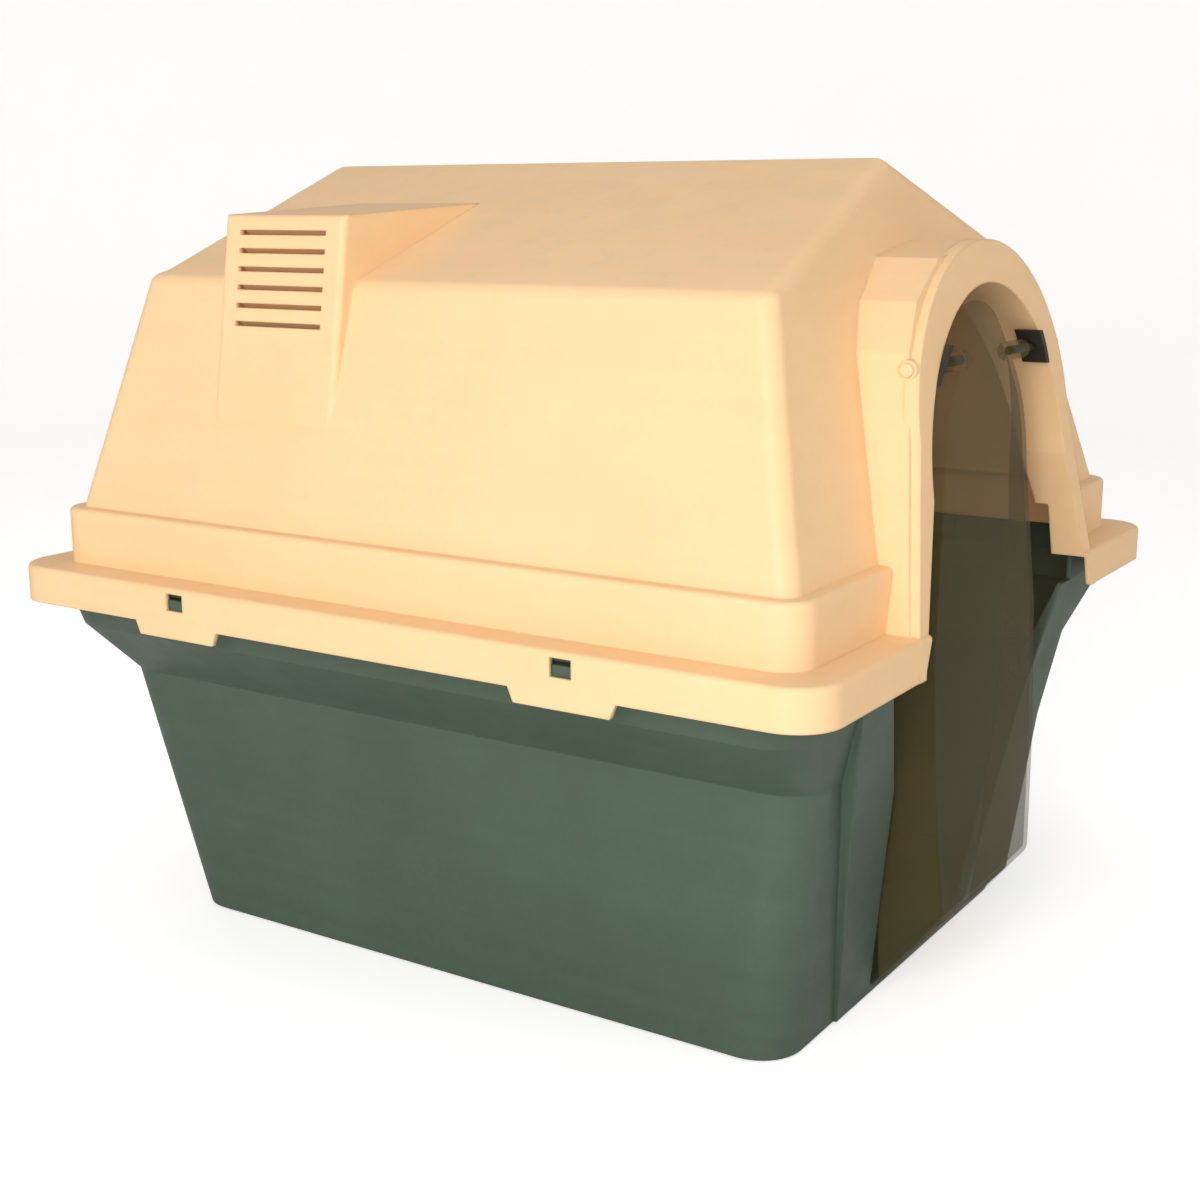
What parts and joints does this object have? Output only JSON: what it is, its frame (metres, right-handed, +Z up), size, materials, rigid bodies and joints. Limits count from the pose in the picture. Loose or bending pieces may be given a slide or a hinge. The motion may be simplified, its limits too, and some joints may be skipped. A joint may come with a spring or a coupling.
{
  "type": "chicken coop",
  "caption": "Moulded plastic hen house: gabled roof shell with arched portal and louvred vents, snapped on a tapered floor tub, with a smoked swing door.",
  "frame": {"origin": "centre of the footprint on the ground, halfway along and across the rim", "axes": "+Z up, the doorway faces -Y, +X is across the house"},
  "size_m": [0.85, 0.897, 0.7758],
  "materials": {
    "cream_plastic": "satin moulded",
    "green_plastic": "satin moulded",
    "smoked_plastic": "smoked clear",
    "black_plastic": "fine texture",
    "rubber": "matte",
    "perch_wood": "bare",
    "pin_plastic": "moulded"
  },
  "bodies": {
    "house": {"roof_shell": "cream_plastic", "base_tub": "green_plastic", "pivot_pin_left": "pin_plastic", "pivot_pin_right": "pin_plastic", "hinge_block_left": "black_plastic", "hinge_block_right": "black_plastic", "foot_pads": "rubber", "perch_cup_left": "green_plastic", "perch_cup_right": "green_plastic"},
    "door": {"swing_door": "smoked_plastic"},
    "lug_front_left": {"snap_lug_front_left": "green_plastic"},
    "lug_rear_left": {"snap_lug_rear_left": "green_plastic"},
    "lug_front_right": {"snap_lug_front_right": "green_plastic"},
    "lug_rear_right": {"snap_lug_rear_right": "green_plastic"},
    "plug": {"drain_plug": "rubber"},
    "perch": {"perch_bar": "perch_wood"}
  },
  "joints": [
    {"name": "door_swing", "type": "hinge", "parent": "house", "child": "door", "pos_m": [0, -0.404, 0.5985], "axis": [-1, 0, 0], "range_deg": [-35, 80]},
    {"name": "press_front_left", "type": "slide", "parent": "house", "child": "lug_front_left", "axis": [1, 0, 0], "range_m": [0, 0.006], "stiffness_N_per_m": 2000},
    {"name": "press_rear_left", "type": "slide", "parent": "house", "child": "lug_rear_left", "axis": [1, 0, 0], "range_m": [0, 0.006], "stiffness_N_per_m": 2000},
    {"name": "press_front_right", "type": "slide", "parent": "house", "child": "lug_front_right", "axis": [-1, 0, 0], "range_m": [0, 0.006], "stiffness_N_per_m": 2000},
    {"name": "press_rear_right", "type": "slide", "parent": "house", "child": "lug_rear_right", "axis": [-1, 0, 0], "range_m": [0, 0.006], "stiffness_N_per_m": 2000},
    {"name": "plug_pull", "type": "slide", "parent": "house", "child": "plug", "axis": [0, 0, 1], "range_m": [0, 0.06]},
    {"name": "perch_lift", "type": "slide", "parent": "house", "child": "perch", "axis": [0, 0, 1], "range_m": [0, 0.08]}
  ]
}
